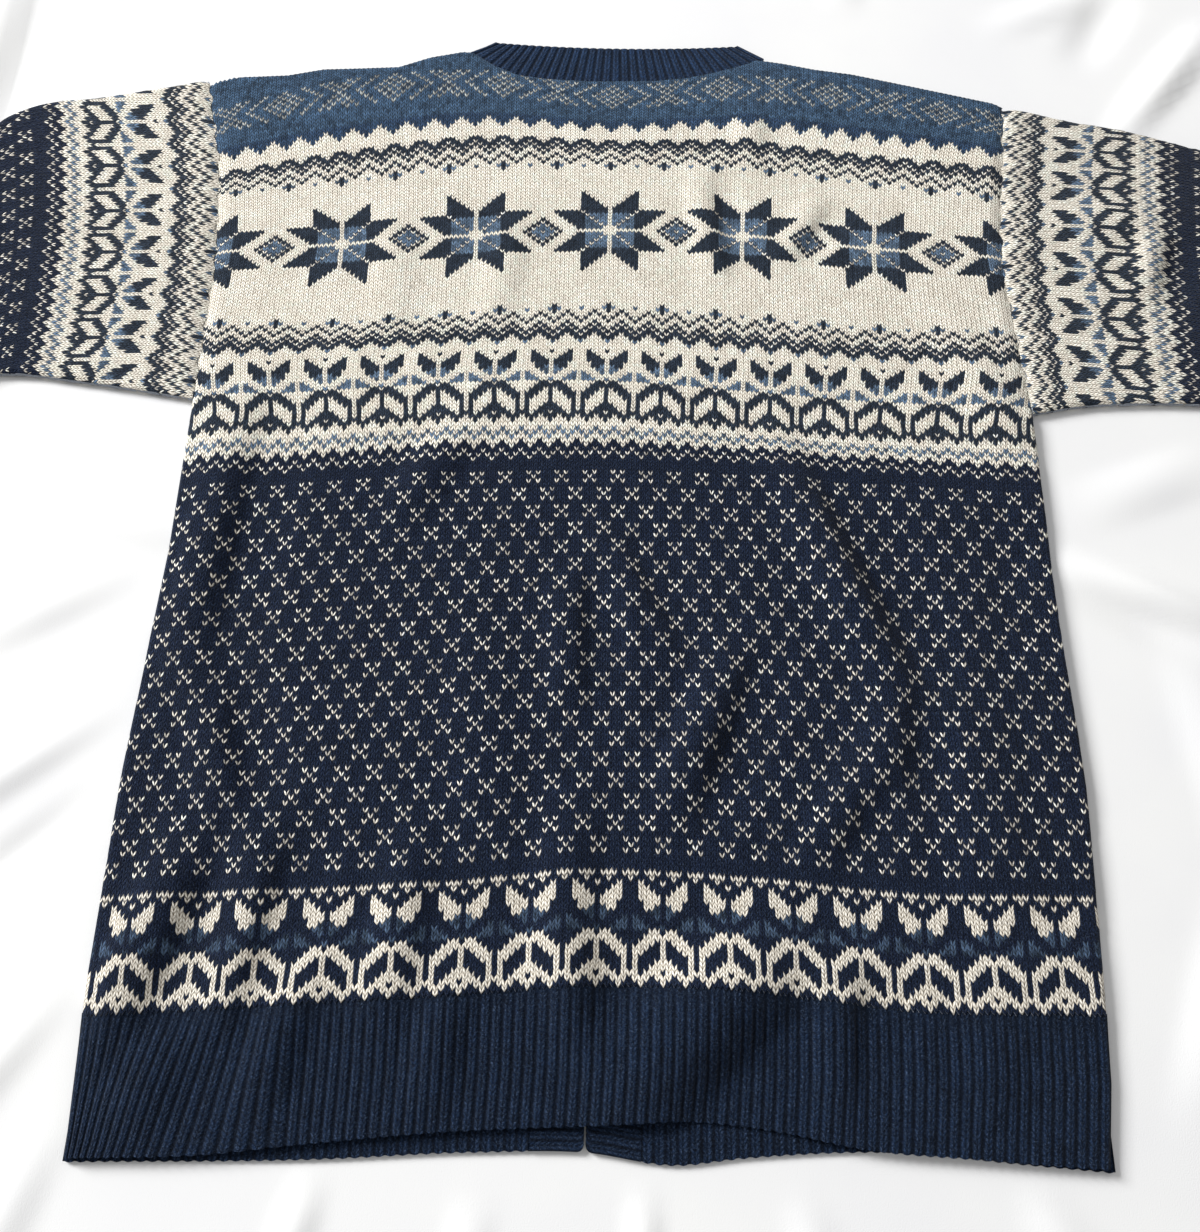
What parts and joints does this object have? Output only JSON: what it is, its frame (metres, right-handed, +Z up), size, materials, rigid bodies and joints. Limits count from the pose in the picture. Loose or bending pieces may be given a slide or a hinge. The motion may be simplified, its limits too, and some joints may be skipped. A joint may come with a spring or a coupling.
{
  "type": "nordic cardigan",
  "caption": "Stranded-knit wool cardigan lying flat, face down, with drop-shoulder sleeves, ribbed hem, cuffs, neckband and edge-to-edge front bands.",
  "frame": {"origin": "centre of the laid-out garment's box, on the surface that it lies on", "axes": "+Z up, away from the surface; +Y from the hem to the neck; +X across, towards the wearer's right sleeve, since the back faces up"},
  "size_m": [1.4772, 0.7752, 0.0095],
  "materials": {
    "stranded_knit": "matt, slightly fuzzy stranded wool in navy, cream and blue",
    "wool_rib": "matt, slightly fuzzy navy wool in 1x1 rib"
  },
  "bodies": {
    "root": {"back": "stranded_knit", "front_left": "stranded_knit", "front_right": "stranded_knit", "sleeve_left": "stranded_knit", "sleeve_right": "stranded_knit", "hem_back": "wool_rib", "hem_front_left": "wool_rib", "hem_front_right": "wool_rib", "band_left": "wool_rib", "band_right": "wool_rib", "neckband": "wool_rib", "cuff_left": "wool_rib", "cuff_right": "wool_rib"}
  },
  "joints": []
}
